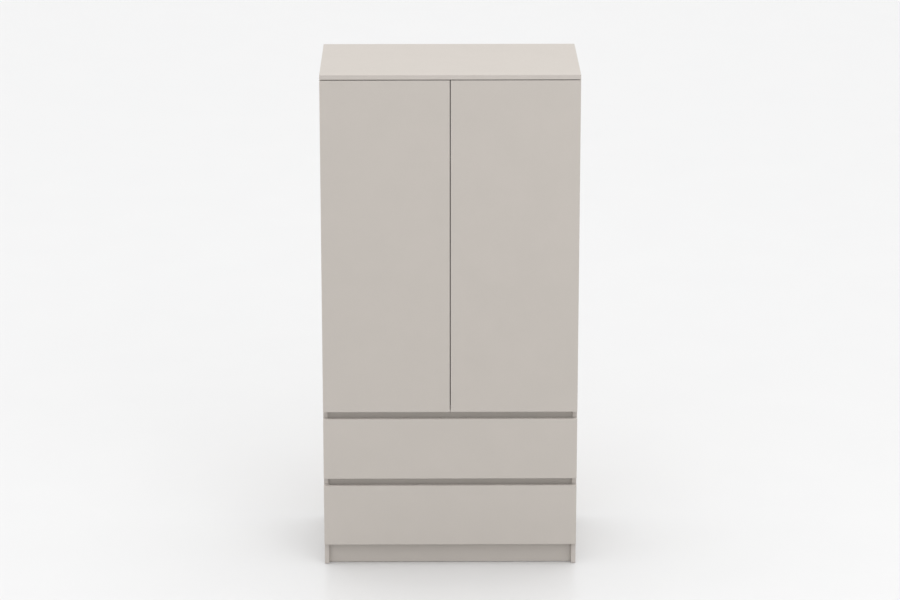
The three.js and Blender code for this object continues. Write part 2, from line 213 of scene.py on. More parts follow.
# %% Build the studio
FLOOR_REACH = 60.0
TENT_STRENGTH = 0.80
WARDROBE_FOOT = (0, 0, 0)
DOOR_HEADS = (0, LOW.y, 1.9)
OVERHEAD_PLACE = (0, 0.35, 5)
OVERHEAD_POWER = 1.45
OVERHEAD_SPREAD = math.radians(70)
OVERHEAD_TINT = (1.0, 0.994, 0.986)
HIGH_FRONT_PLACE = (0.05, -1.0, 0.8)
HIGH_FRONT_POWER = 0.56
HIGH_FRONT_SPREAD = math.radians(65)
FRONT_PLACE = (1.1, -2.6, 3.4)
FRONT_POWER = 13.0
FRONT_SIZE = 1.6


def studio_floor():
    reach = FLOOR_REACH
    mesh = bpy.data.meshes.new("floor")
    corners = [(-reach, -reach, 0), (reach, -reach, 0), (reach, reach, 0), (-reach, reach, 0)]
    mesh.from_pydata(corners, [], [(0, 1, 2, 3)])
    material, tree, shader, place = new_material("studio_floor_paint", 0.3)
    cloud = grain_noise(tree, place, 3.0, 4.0)
    color = mottled(tree, cloud, (0.690, 0.692, 0.696), (0.696, 0.698, 0.701))
    tree.links.new(color, shader.inputs["Base Color"])
    tree.links.new(spread(tree, cloud, 0.28, 0.33), shader.inputs["Roughness"])
    mesh.materials.append(material)
    floor = bpy.data.objects.new("floor", mesh)
    bpy.context.scene.collection.objects.link(floor)


def hang_lamp(name, kind, power, place, aim):
    lamp = bpy.data.lights.new(name, kind)
    lamp.energy = power
    lamp_object = bpy.data.objects.new(name, lamp)
    lamp_object.location = place
    lamp_object.rotation_euler = (Vector(aim) - Vector(place)).to_track_quat("-Z", "Y").to_euler()
    bpy.context.scene.collection.objects.link(lamp_object)
    return lamp


def studio_light():
    world = bpy.data.worlds.new("light_tent")
    world.use_nodes = True
    tent = world.node_tree.nodes["Background"]
    tent.inputs["Color"].default_value = (1.0, 1.0, 1.0, 1.0)
    tent.inputs["Strength"].default_value = TENT_STRENGTH
    bpy.context.scene.world = world
    overhead = hang_lamp("overhead_softbox", "SUN", OVERHEAD_POWER, OVERHEAD_PLACE, WARDROBE_FOOT)
    overhead.angle = OVERHEAD_SPREAD
    overhead.color = OVERHEAD_TINT
    high_front = hang_lamp("high_front_softbox", "SUN", HIGH_FRONT_POWER, HIGH_FRONT_PLACE, WARDROBE_FOOT)
    high_front.angle = HIGH_FRONT_SPREAD
    front = hang_lamp("front_softbox", "AREA", FRONT_POWER, FRONT_PLACE, DOOR_HEADS)
    front.shape = "RECTANGLE"
    front.size = FRONT_SIZE
    front.size_y = FRONT_SIZE


studio_floor()
studio_light()
bpy.context.scene.view_settings.view_transform = "Standard"
print("studio ready")

# %% [markdown]
# ## Greige melamine and its edge band
#
# Every board that shows is chipboard pressed between two sheets of melamine paper. The
# greige is printed, so its colour hardly varies, but the press plate leaves a fine pebbled
# texture that scatters highlights. The sawn edges are covered with a plastic strip, a
# shade lighter and a little glossier than the face. Its milled corners are painted paler
# in patches: partly rubbed wear, partly a painted highlight where light catches the round.
# Both are made of soft noise: a slow one for the colour and a very fine one for the bump.

# %% Mix the two greiges
FINE_BUMP = 0.0002
FLECK_SHARE = 0.35
ALONG_THE_BAND = (1.0, 1.0, 0.12)


def melamine():
    material, tree, shader, place = new_material("greige_melamine", 0.5, ior_level=0.4)
    cloud = grain_noise(tree, place, 9.0, 3.0)
    fleck = grain_noise(tree, place, 420.0, 2.0)
    slow = mottled(tree, cloud, (0.480, 0.445, 0.409), (0.491, 0.454, 0.418))
    quick = mottled(tree, fleck, (0.477, 0.441, 0.405), (0.494, 0.458, 0.421))
    tree.links.new(blended(tree, FLECK_SHARE, slow, quick), shader.inputs["Base Color"])
    smears = grain_noise(tree, place, 60.0, 3.0)
    tree.links.new(spread(tree, smears, 0.45, 0.55), shader.inputs["Roughness"])
    pebbles = grain_noise(tree, place, 1400.0, 2.0)
    bumped(tree, shader, pebbles, 0.14, FINE_BUMP)
    return material


def edge_band():
    material, tree, shader, place = new_material("greige_edge_band", 0.42)
    cloud = grain_noise(tree, place, 14.0, 3.0)
    color = mottled(tree, cloud, (0.485, 0.448, 0.413), (0.496, 0.458, 0.424))
    corner = add_node(tree, "ShaderNodeAttribute", attribute_name="milled_corner").outputs["Fac"]
    patches = spread(tree, grain_noise(tree, place, 35.0, 3.0), 0.2, 1.0)
    # the milled corners are painted paler in patches: partly rubbed wear, partly a painted highlight
    wear_and_highlight = math_of(tree, "MULTIPLY", corner, patches)
    tree.links.new(blended(tree, wear_and_highlight, color, (0.539, 0.505, 0.470)), shader.inputs["Base Color"])
    tree.links.new(spread(tree, cloud, 0.38, 0.46), shader.inputs["Roughness"])
    streaks = grain_noise(tree, stretched(tree, place, ALONG_THE_BAND), 700.0)
    bumped(tree, shader, streaks, 0.10, FINE_BUMP)
    return material


MELAMINE = melamine()
EDGE_BAND = edge_band()
print("mixed", MELAMINE.name, "and", EDGE_BAND.name)

# %% [markdown]
# ## Chipboard, fibreboard and foil
#
# Where a bore or a groove opens the board, its core shows: flat wood chips in glue. Voronoi
# cells give the chips, each cell its own brown. The back and the drawer bottoms are thin
# fibreboard, raw and brown on the side that nobody sees, lacquered greige inside. The
# drawer sides are wrapped in pale foil printed with a faint linen weave.

# %% Mix the core, the fibreboard and the foil
ALONG_THE_WARP = (1.0, 0.04, 1.0)
ALONG_THE_WEFT = (0.04, 1.0, 0.04)


def raw_chipboard():
    material, tree, shader, place = new_material("raw_chipboard", 0.85, ior_level=0.25)
    chips = add_node(tree, "ShaderNodeTexVoronoi", {"Vector": place, "Scale": 520.0})
    shade = add_node(tree, "ShaderNodeSeparateColor", {"Color": chips.outputs["Color"]}).outputs["Red"]
    color = mottled(tree, shade, (0.30, 0.19, 0.10), (0.58, 0.42, 0.26), 0.1, 0.9)
    tree.links.new(color, shader.inputs["Base Color"])
    tree.links.new(spread(tree, shade, 0.78, 0.92), shader.inputs["Roughness"])
    bumped(tree, shader, chips.outputs["Distance"], 0.5, 0.0004)
    return material


def raw_fibreboard():
    material, tree, shader, place = new_material("raw_fibreboard", 0.75, ior_level=0.3)
    fibre = grain_noise(tree, place, 260.0, 6.0, 0.65)
    cloud = grain_noise(tree, place, 5.0, 4.0)
    color = mottled(tree, fibre, (0.215, 0.135, 0.078), (0.330, 0.220, 0.135), 0.3, 0.7)
    patchy = blended(tree, spread(tree, cloud, 0.0, 0.5), color, (0.36, 0.25, 0.16))
    tree.links.new(patchy, shader.inputs["Base Color"])
    tree.links.new(spread(tree, fibre, 0.66, 0.84), shader.inputs["Roughness"])
    bumped(tree, shader, fibre, 0.35, 0.0005)
    return material


def lacquered_fibreboard():
    material, tree, shader, place = new_material("lacquered_fibreboard", 0.5, ior_level=0.4)
    cloud = grain_noise(tree, place, 7.0, 3.0)
    color = mottled(tree, cloud, (0.465, 0.430, 0.396), (0.484, 0.447, 0.412))
    tree.links.new(color, shader.inputs["Base Color"])
    tree.links.new(spread(tree, cloud, 0.48, 0.58), shader.inputs["Roughness"])
    bumped(tree, shader, grain_noise(tree, place, 320.0, 4.0), 0.22, 0.0003)
    return material


def linen_foil():
    material, tree, shader, place = new_material("linen_foil", 0.55, ior_level=0.4)
    warp = grain_noise(tree, stretched(tree, place, ALONG_THE_WARP), 1500.0)
    weft = grain_noise(tree, stretched(tree, place, ALONG_THE_WEFT), 1500.0)
    weave = blended(tree, 0.5, warp, weft)
    color = mottled(tree, weave, (0.548, 0.522, 0.492), (0.609, 0.583, 0.552), 0.3, 0.7)
    tree.links.new(color, shader.inputs["Base Color"])
    tree.links.new(spread(tree, warp, 0.48, 0.62), shader.inputs["Roughness"])
    bumped(tree, shader, weave, 0.18, FINE_BUMP)
    return material


CHIPBOARD = raw_chipboard()
FIBREBOARD = raw_fibreboard()
LACQUERED = lacquered_fibreboard()
FOIL = linen_foil()
print("mixed", CHIPBOARD.name, FIBREBOARD.name, LACQUERED.name, FOIL.name)

# %% [markdown]
# ## Metals and plastics
#
# Hinges are nickel-plated and smooth; runners and brackets are zinc-plated strip, whose
# crystals show as faint spangles; the hanging rail is brushed along its length. All three
# are one recipe with other numbers: a metal whose colour and roughness drift with a
# pattern, and whose edges are polished by handling. Plastic is the same idea without metal.

# %% Mix metals and plastics
POLISHED_BY = 1.12
SCUFFED_BY = 1.25
METAL_DRIFT = 0.07
PLASTIC_DRIFT = 0.06
SCRATCHES_PER_PATTERN = 6.0
BRUSHED = (0.02, 1, 1)


def plated(name, dark, light, roughness, pattern_size, stretch=(1, 1, 1), spangled=False):
    material, tree, shader, place = new_material(name, roughness, metallic=1.0)
    where = stretched(tree, place, stretch)
    pattern = grain_noise(tree, where, pattern_size, 4.0, 0.6)
    if spangled:
        cells = add_node(tree, "ShaderNodeTexVoronoi", {"Vector": where, "Scale": pattern_size})
        shares = add_node(tree, "ShaderNodeSeparateColor", {"Color": cells.outputs["Color"]})
        pattern = shares.outputs["Green"]
    color = mottled(tree, pattern, dark, light, 0.2, 0.8)
    polished = tuple(min(1.0, value * POLISHED_BY) for value in light)
    tree.links.new(blended(tree, rubbed_edges(tree), color, polished), shader.inputs["Base Color"])
    drift = spread(tree, pattern, roughness - METAL_DRIFT, roughness + METAL_DRIFT)
    tree.links.new(drift, shader.inputs["Roughness"])
    scratches = grain_noise(tree, where, pattern_size * SCRATCHES_PER_PATTERN)
    bumped(tree, shader, scratches, 0.08, 0.0001)
    return material


def moulded(name, dark, light, roughness):
    material, tree, shader, place = new_material(name, roughness)
    cloud = grain_noise(tree, place, 80.0, 4.0)
    color = mottled(tree, cloud, dark, light)
    scuffed = tuple(value * SCUFFED_BY for value in light)
    tree.links.new(blended(tree, rubbed_edges(tree), color, scuffed), shader.inputs["Base Color"])
    drift = spread(tree, cloud, roughness - PLASTIC_DRIFT, roughness + PLASTIC_DRIFT)
    tree.links.new(drift, shader.inputs["Roughness"])
    bumped(tree, shader, grain_noise(tree, place, 1800.0, 3.0), 0.2, FINE_BUMP)
    return material


NICKEL = plated("nickel_plate", (0.60, 0.585, 0.555), (0.70, 0.685, 0.655), 0.24, 300.0)
ZINC = plated("zinc_plate", (0.50, 0.51, 0.52), (0.63, 0.64, 0.65), 0.36, 260.0, spangled=True)
SATIN_STEEL = plated("satin_steel", (0.50, 0.49, 0.475), (0.60, 0.59, 0.575), 0.32, 900.0, BRUSHED)
BRIGHT_STEEL = plated("bright_steel", (0.66, 0.66, 0.66), (0.76, 0.76, 0.76), 0.22, 800.0)
GREY_PLASTIC = moulded("grey_plastic", (0.24, 0.225, 0.21), (0.28, 0.262, 0.245), 0.5)
CLEAR_PLASTIC = moulded("soft_clear_plastic", (0.60, 0.59, 0.57), (0.66, 0.65, 0.63), 0.35)
print("mixed four metals and two plastics")

# %% [markdown]
# ## Boards
#
# A sawn board with knife-sharp edges looks like paper. A real one has a one-millimetre band
# whose corners are milled round. The model's own mesh is copied, its loose triangles are
# merged, and only the edges on the board's outline are rounded, so bores and grooves stay
# crisp. Each face then takes the finish that lies there: paper, band or bare core.

# %% Tools for boards
SAME_PLACE = 1e-5
SAME_PLANE = math.radians(0.5)
SQUARE_ON = 0.999
FACES_RAW_SIDE = 0.9
BOARD_ROUND = 0.5 * MM
BAND_SLOT, CORE_SLOT = 1, 2


def merged_copy(node):
    shape = bmesh.new()
    shape.from_mesh(frame["nodes"][node].data)
    bmesh.ops.remove_doubles(shape, verts=shape.verts, dist=SAME_PLACE)
    bmesh.ops.dissolve_limit(shape, angle_limit=SAME_PLANE, verts=shape.verts, edges=shape.edges)
    return shape


def stand_in(shape, name, node, *materials):
    mesh = bpy.data.meshes.new(name)
    shape.to_mesh(mesh)
    shape.free()
    for material in materials:
        mesh.materials.append(material)
    piece = bpy.data.objects.new(name, mesh)
    bpy.context.scene.collection.objects.link(piece)
    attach(piece, BODY_OF[node])
    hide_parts(node)
    return piece


def outline_edges(shape, low, high):
    planes = [(axis, corner[axis]) for axis in range(3) for corner in (low, high)]

    def planes_touched(edge):
        return sum(
            all(abs(vert.co[axis] - value) < SAME_PLACE for vert in edge.verts) for axis, value in planes
        )

    return [edge for edge in shape.edges if planes_touched(edge) >= 2]


def finished_board(node, facing, band, core, raw_side=Vector(), radius=BOARD_ROUND):
    low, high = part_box(node)
    shape = merged_copy(node)
    bmesh.ops.bevel(
        shape, geom=outline_edges(shape, low, high), offset=radius, segments=3,
        profile=0.5, affect="EDGES", clamp_overlap=True,
    )
    thin = min(range(3), key=lambda axis: high[axis] - low[axis])
    milled_corner = shape.faces.layers.float.new("milled_corner")
    for face in shape.faces:
        middle = face.calc_center_median()
        depth = min(min(middle[axis] - low[axis], high[axis] - middle[axis]) for axis in range(3))
        face.smooth = max(abs(value) for value in face.normal) < SQUARE_ON
        # mask of the rounded corner faces, which the edge band paints paler: wear and a painted highlight
        face[milled_corner] = float(face.smooth and depth <= radius)
        if depth > radius or face.normal.dot(raw_side) > FACES_RAW_SIDE:
            face.material_index = CORE_SLOT
        elif abs(face.normal[thin]) < SQUARE_ON:
            face.material_index = BAND_SLOT
    return stand_in(shape, node + "_board", node, facing, band, core)


print("board tools ready, corners rounded by", BOARD_ROUND / MM, "mm")

# %% Finish the boards
REARWARDS = Vector((0, 1, 0))
DOWNWARDS = Vector((0, 0, -1))
FOIL_ROUND = 0.6 * MM
SHEET_ROUND = 0.3 * MM
board_count = 0
for node, slot in SLOT_OF.items():
    if slot == "melamine_board":
        finished_board(node, MELAMINE, EDGE_BAND, CHIPBOARD)
    elif slot == "drawer_board":
        finished_board(node, FOIL, FOIL, CHIPBOARD, radius=FOIL_ROUND)
    elif slot == "hardboard":
        hidden_side = REARWARDS if node.startswith("back") else DOWNWARDS
        finished_board(node, LACQUERED, FIBREBOARD, FIBREBOARD, hidden_side, radius=SHEET_ROUND)
    else:
        continue
    board_count += 1
print(board_count, "boards finished")

# %% [markdown]
# ## Hinges, runners, brackets and glides
#
# These are pressed, drawn or moulded, so none of them has a truly sharp edge. The shapes in
# the model are right, and only their edges need a small round. A bevel on every edge that
# turns by more than forty degrees does that; curved walls turn by less, so they only get
# smooth shading.

# %% Finish the metal and plastic parts
EASED_ROUND = 0.25 * MM
SHARP_TURN = math.radians(40)
EASED_CREASE = math.radians(32)


def eased(node, material):
    shape = merged_copy(node)
    sharp = [edge for edge in shape.edges if edge.calc_face_angle(0.0) > SHARP_TURN]
    bmesh.ops.bevel(
        shape, geom=sharp, offset=EASED_ROUND, segments=2,
        profile=0.5, affect="EDGES", clamp_overlap=True,
    )
    for face in shape.faces:
        face.smooth = True
    piece = stand_in(shape, node + "_eased", node, material)
    piece.data.set_sharp_from_angle(angle=EASED_CREASE)
    return piece


METAL_OF_SLOT = {
    "nickel_hinge": NICKEL, "zinc_runner": ZINC, "rail_steel": SATIN_STEEL, "plastic": GREY_PLASTIC,
}
eased_nodes = [node for node, slot in SLOT_OF.items() if slot in METAL_OF_SLOT and node != "hanging_rail"]
for node in eased_nodes:
    eased(node, METAL_OF_SLOT[SLOT_OF[node]])
print(len(eased_nodes), "fittings eased")

# %% [markdown]
# ## Helpers for Geometry Nodes
#
# Small fittings repeat: the same screw head sits in dozens of places. A Geometry Nodes tree
# is built once, with its sizes as named inputs, and is then run on a few points or lines.
# A point carries the direction it faces. The result is turned into a plain mesh and the
# modifier goes away, so that what is left is ordinary geometry.

# %% Geometry Nodes helpers
RANDOM_MAX, RANDOM_VALUE = 3, 1  # a Random Value node's sockets for plain numbers
SCREW_SEED, PAD_SEED, NAIL_SEED, BALL_SEED = 7, 3, 5, 9
GROWN_CREASE = math.radians(35)


def shape_tree(name, **sizes):
    tree = bpy.data.node_groups.new(name, "GeometryNodeTree")
    tree.interface.new_socket("Geometry", in_out="INPUT", socket_type="NodeSocketGeometry")
    for size, default in sizes.items():
        socket = tree.interface.new_socket(size, in_out="INPUT", socket_type="NodeSocketFloat")
        socket.default_value = default
    tree.interface.new_socket("finish", in_out="INPUT", socket_type="NodeSocketMaterial")
    tree.interface.new_socket("Geometry", in_out="OUTPUT", socket_type="NodeSocketGeometry")
    return tree, tree.nodes.new("NodeGroupInput").outputs


def close_tree(tree, given, geometry):
    real = add_node(tree, "GeometryNodeRealizeInstances", {"Geometry": geometry}).outputs["Geometry"]
    inputs = {"Geometry": real, "Material": given["finish"]}
    painted = add_node(tree, "GeometryNodeSetMaterial", inputs).outputs["Geometry"]
    add_node(tree, "NodeGroupOutput", {"Geometry": painted})


def vector_of(tree, x=0.0, y=0.0, z=0.0):
    return add_node(tree, "ShaderNodeCombineXYZ", {"X": x, "Y": y, "Z": z}).outputs[0]


def joined(tree, *parts):
    node = add_node(tree, "GeometryNodeJoinGeometry")
    for part in parts:
        tree.links.new(part, node.inputs[0])
    return node.outputs[0]


def turned_to_face(tree, seed):
    facing = add_node(tree, "GeometryNodeInputNamedAttribute", {"Name": "facing"}, data_type="FLOAT_VECTOR")
    upright = add_node(tree, "FunctionNodeAlignRotationToVector", {"Vector": facing.outputs[0]}, axis="Z")
    chance = add_node(tree, "FunctionNodeRandomValue", {"Seed": seed}, data_type="FLOAT")
    chance.inputs[RANDOM_MAX].default_value = math.pi
    inputs = {"Axis": (0, 0, 1), "Angle": chance.outputs[RANDOM_VALUE]}
    spin = add_node(tree, "FunctionNodeAxisAngleToRotation", inputs)
    inputs = {"Rotation": upright.outputs[0], "Rotate By": spin.outputs[0]}
    return add_node(tree, "FunctionNodeRotateRotation", inputs, rotation_space="LOCAL").outputs[0]


def grown(name, tree, body, slot, finish, places, lines=(), **sizes):
    mesh = bpy.data.meshes.new(name + "_places")
    mesh.from_pydata([point for point, _ in places], lines, [])
    facing = mesh.attributes.new("facing", "FLOAT_VECTOR", "POINT")
    facing.data.foreach_set("vector", [value for _, way in places for value in way])
    piece = bpy.data.objects.new(name, mesh)
    bpy.context.scene.collection.objects.link(piece)
    modifier = piece.modifiers.new("grow", "NODES")
    modifier.node_group = tree
    for socket in tree.interface.items_tree:
        if socket.in_out == "INPUT" and socket.name in sizes:
            modifier[socket.identifier] = sizes[socket.name]
        if socket.in_out == "INPUT" and socket.name == "finish":
            modifier[socket.identifier] = finish
    ready = piece.evaluated_get(bpy.context.evaluated_depsgraph_get())
    piece.data = bpy.data.meshes.new_from_object(ready)
    piece.modifiers.remove(modifier)
    piece.data.set_sharp_from_angle(angle=GROWN_CREASE)
    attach(piece, body)
    print(f"{name}: {len(places)} places, {len(piece.data.polygons)} faces")
    return piece


print("helpers for Geometry Nodes ready")

# %% [markdown]
# ## The hanging rail
#
# The rail is a welded steel tube with an oval section, and it follows a plain rule: one
# outline, drawn along one line. Two filleted rectangles make the outer and the inner oval,
# Fill Curve turns the ring between them into a face, and Extrude Mesh pulls it to length.
# The first ring is turned over to close the near end.

# %% Draw the hanging rail
ALMOST_HALF = 0.499  # of the width: at a full half the two rounds of an end would meet
TUBE_WALL = 1.0 * MM


def oval(tree, width, height):
    box = add_node(tree, "GeometryNodeCurvePrimitiveQuadrilateral", {"Width": width, "Height": height})
    radius = math_of(tree, "MULTIPLY", width, ALMOST_HALF)
    inputs = {"Curve": box.outputs[0], "Count": 12, "Radius": radius}
    return add_node(tree, "GeometryNodeFilletCurve", inputs, mode="POLY").outputs[0]


def rail_tree():
    tree, given = shape_tree("oval_tube", width=0.015, height=0.03, wall=0.001, length=0.9)
    double_wall = math_of(tree, "MULTIPLY", given["wall"], 2.0)
    inner_width = math_of(tree, "SUBTRACT", given["width"], double_wall)
    inner_height = math_of(tree, "SUBTRACT", given["height"], double_wall)
    ring = joined(tree, oval(tree, given["width"], given["height"]), oval(tree, inner_width, inner_height))
    face = add_node(tree, "GeometryNodeFillCurve", {"Curve": ring}, mode="TRIANGLES").outputs[0]
    inputs = {"Mesh": face, "Offset Scale": given["length"], "Individual": False}
    tube = add_node(tree, "GeometryNodeExtrudeMesh", inputs, mode="FACES").outputs[0]
    near_end = add_node(tree, "GeometryNodeFlipFaces", {"Mesh": face}).outputs[0]
    whole = add_node(tree, "GeometryNodeMergeByDistance", {
        "Geometry": joined(tree, tube, near_end), "Distance": SAME_PLACE,
    }).outputs[0]
    middle = vector_of(tree, z=math_of(tree, "MULTIPLY", given["length"], -0.5))
    centred = add_node(tree, "GeometryNodeTransform", {"Geometry": whole, "Translation": middle}).outputs[0]
    upright = add_node(tree, "GeometryNodeTransform", {
        "Geometry": centred, "Rotation": (math.radians(90), 0, math.radians(90)),
    }).outputs[0]
    smooth = add_node(tree, "GeometryNodeSetShadeSmooth", {"Geometry": upright}).outputs[0]
    placed = add_node(tree, "GeometryNodeInstanceOnPoints", {
        "Points": given["Geometry"], "Instance": smooth,
    }).outputs[0]
    close_tree(tree, given, placed)
    return tree


rail_low, rail_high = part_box("hanging_rail")
rail = grown(
    "hanging_rail_tube", rail_tree(), "carcass", "rail_steel", SATIN_STEEL,
    [((rail_low + rail_high) / 2, (0, 0, 1))],
    width=rail_high.y - rail_low.y, height=rail_high.z - rail_low.z, wall=TUBE_WALL,
    length=rail_high.x - rail_low.x,
)
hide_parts("hanging_rail")

# %% [markdown]
# ## Screw heads
#
# A pan-head screw shows a low round cap with a cross cut into it. The cap is a short cone,
# and Mesh Boolean cuts a cross of two crossed bars out of it. Every head is turned by a
# different amount about its own axis, from a fixed seed, because no fitter lines them up.
# The same tree also makes the cam discs that pull the boards together, with wider sizes.

# %% Build the screw head
CAP_TOP_SHARE = 0.72  # of the head's radius
CUT_REACH_SHARE = 1.1
CUT_LIFT_SHARE = 0.95  # of the head's height, so that the cross goes a little more than halfway down


def screw_tree():
    tree, given = shape_tree("cross_head", radius=0.0035, height=0.0012, cut_width=0.0009)
    upper = math_of(tree, "MULTIPLY", given["radius"], CAP_TOP_SHARE)
    cap = add_node(tree, "GeometryNodeMeshCone", {
        "Vertices": 20, "Radius Top": upper, "Radius Bottom": given["radius"], "Depth": given["height"],
    }).outputs[0]
    reach = math_of(tree, "MULTIPLY", given["radius"], CUT_REACH_SHARE)
    lift = vector_of(tree, z=math_of(tree, "MULTIPLY", given["height"], CUT_LIFT_SHARE))
    bars = []
    for size in (vector_of(tree, reach, given["cut_width"], given["height"]),
                 vector_of(tree, given["cut_width"], reach, given["height"])):
        bar = add_node(tree, "GeometryNodeMeshCube", {"Size": size}).outputs[0]
        lifted = add_node(tree, "GeometryNodeTransform", {"Geometry": bar, "Translation": lift})
        bars.append(lifted.outputs[0])
    cutter = add_node(tree, "GeometryNodeMeshBoolean", {"Mesh 2": joined(tree, *bars)}, operation="UNION")
    cutter.solver = "EXACT"
    cutter.inputs["Self Intersection"].default_value = True
    cross_cut = add_node(tree, "GeometryNodeMeshBoolean", operation="DIFFERENCE")
    cross_cut.solver = "EXACT"
    tree.links.new(cap, cross_cut.inputs["Mesh 1"])
    tree.links.new(cutter.outputs[0], cross_cut.inputs["Mesh 2"])
    seated = add_node(tree, "GeometryNodeInstanceOnPoints", {
        "Points": given["Geometry"], "Instance": cross_cut.outputs[0],
        "Rotation": turned_to_face(tree, SCREW_SEED),
    }).outputs[0]
    close_tree(tree, given, seated)
    return tree


SCREW_HEAD = screw_tree()
print("screw head tree:", len(SCREW_HEAD.nodes), "nodes")

# %% [markdown]
# ## Where the screws go
#
# A hinge is held by two screws in its cup's flange, on the door, and by two in the wings of
# its mounting plate, on the side panel; a fifth fixes the arm to the plate. A runner has
# three in the cabinet and three in the drawer's side. Their places are worked out from the
# boxes of the parts they hold, so they stay right if the wardrobe is made to another size.

# %% Screw the fittings down
SIDES = {"left": -1, "right": 1}
PANEL_FACE = {name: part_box(f"side_panel_{name}")[1 if sign < 0 else 0].x for name, sign in SIDES.items()}
WING_BEHIND_ARM = 43.35 * MM
WING_FACE = 3.9 * MM
WING_SCREW_LIFT = 17 * MM
FLANGE_SCREW_LIFT = 22.8 * MM
RUNNER_WEB = {"cabinet": 1.4 * MM, "drawer": 11.6 * MM}
RUNNER_SCREW_SHARES = (0.08, 0.42, 0.88)
DRAWER_SCREW_ABOVE = 24 * MM
DRAWER_SCREW_BELOW = 34 * MM
DRAWER_SCREW_BEHIND = 6 * MM
BRACKET_SCREW_AHEAD = 20 * MM
BRACKET_SHEET = 2 * MM


def middle_of(node):
    low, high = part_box(node)
    return (low + high) / 2


def hinge_screws(name, sign):
    plate, flange = [], []
    inwards = (-sign, 0, 0)
    for level in ("lower", "middle", "upper"):
        arm_low, arm_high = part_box(f"hinge_arm_{name}_{level}")
        cup_low, cup_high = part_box(f"hinge_cup_{name}_{level}")
        height = (cup_low.z + cup_high.z) / 2
        wing = arm_low.y + WING_BEHIND_ARM
        wing_face = PANEL_FACE[name] - sign * WING_FACE
        cup_middle = (cup_low.x + cup_high.x) / 2
        for way in (-1, 1):
            plate.append(((wing_face, wing, height + way * WING_SCREW_LIFT), inwards))
            flange.append(((cup_middle, cup_high.y, height + way * FLANGE_SCREW_LIFT), REARWARDS))
        arm_head = arm_low.x if sign > 0 else arm_high.x
        plate.append(((arm_head, wing, height), inwards))
    return plate, flange


def runner_screws(drawer, member):
    places = []
    for name, sign in SIDES.items():
        low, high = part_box(f"{drawer}_runner_{member}_{name}")
        web = PANEL_FACE[name] - sign * RUNNER_WEB[member]
        way = -sign if member == "cabinet" else sign
        for share in RUNNER_SCREW_SHARES:
            place = (web, low.y + share * (high.y - low.y), (low.z + high.z) / 2)
            places.append((place, (way, 0, 0)))
    return places


def drawer_screws(drawer):
    places = []
    for name, sign in SIDES.items():
        low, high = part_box(f"{drawer}_drawer_side_{name}")
        outer = high.x if sign > 0 else low.x
        for height in (low.z + DRAWER_SCREW_ABOVE, high.z - DRAWER_SCREW_BELOW):
            places.append(((outer, high.y - DRAWER_SCREW_BEHIND, height), (sign, 0, 0)))
    return places


carcass_screws = []
for name, sign in SIDES.items():
    plate, flange = hinge_screws(name, sign)
    carcass_screws += plate
    grown(f"cup_screws_{name}", SCREW_HEAD, f"{name}_door", "nickel_hinge", NICKEL, flange,
          radius=3.0 * MM, height=0.9 * MM, cut_width=0.8 * MM)
for drawer in ("upper", "lower"):
    carcass_screws += runner_screws(drawer, "cabinet")
    grown(f"{drawer}_drawer_screws", SCREW_HEAD, f"{drawer}_drawer", "zinc_runner", ZINC,
          runner_screws(drawer, "drawer") + drawer_screws(drawer), radius=3.2 * MM, height=1.2 * MM)
for name in SIDES:
    low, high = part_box(f"tip_bracket_{name}")
    place = ((low.x + high.x) / 2, high.y - BRACKET_SCREW_AHEAD, high.z - BRACKET_SHEET)
    carcass_screws.append((place, DOWNWARDS))
grown("carcass_screws", SCREW_HEAD, "carcass", "zinc_runner", BRIGHT_STEEL, carcass_screws,
      radius=3.7 * MM, height=1.2 * MM, cut_width=1.0 * MM)

# %% [markdown]
# ## Cam discs and pads
#
# Flat-pack boards are pulled together by cams, round zinc discs let into the underside of
# each board near its ends, and turned with a screwdriver. Soft pads on the inside of the
# doors and drawer fronts keep them from banging on the carcass.

# %% Cam discs
CAM_INSET = 34 * MM
CAM_ROW_SHARE = 0.17


def cam_places(board):
    low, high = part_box(board)
    reach = min(high.x, PANEL_FACE["right"]) - CAM_INSET
    rows = (low.y + CAM_ROW_SHARE * (high.y - low.y), high.y - CAM_ROW_SHARE * (high.y - low.y))
    return [((sign * reach, row, low.z), DOWNWARDS) for sign in SIDES.values() for row in rows]


cams = [place for board in ("top_panel", "hat_shelf", "middle_panel") for place in cam_places(board)]
grown("cam_discs", SCREW_HEAD, "carcass", "zinc_runner", ZINC, cams,
      radius=7.4 * MM, height=0.7 * MM, cut_width=1.6 * MM)

# %% Pads
PAD_NEAR_SEAM = 22 * MM
PAD_NEAR_HINGE = 440 * MM
PAD_FROM_SIDE = 9 * MM
PAD_FROM_EDGE = 15 * MM


def pad_tree():
    tree, given = shape_tree("soft_pad", radius=0.004, height=0.0026)
    inputs = {"Segments": 20, "Rings": 12, "Radius": given["radius"]}
    ball = add_node(tree, "GeometryNodeMeshUVSphere", inputs)
    flat = vector_of(tree, 1.0, 1.0, math_of(tree, "DIVIDE", given["height"], given["radius"]))
    pad = add_node(tree, "GeometryNodeTransform", {"Geometry": ball.outputs[0], "Scale": flat}).outputs[0]
    smooth = add_node(tree, "GeometryNodeSetShadeSmooth", {"Geometry": pad}).outputs[0]
    seated = add_node(tree, "GeometryNodeInstanceOnPoints", {
        "Points": given["Geometry"], "Instance": smooth, "Rotation": turned_to_face(tree, PAD_SEED),
    }).outputs[0]
    close_tree(tree, given, seated)
    return tree


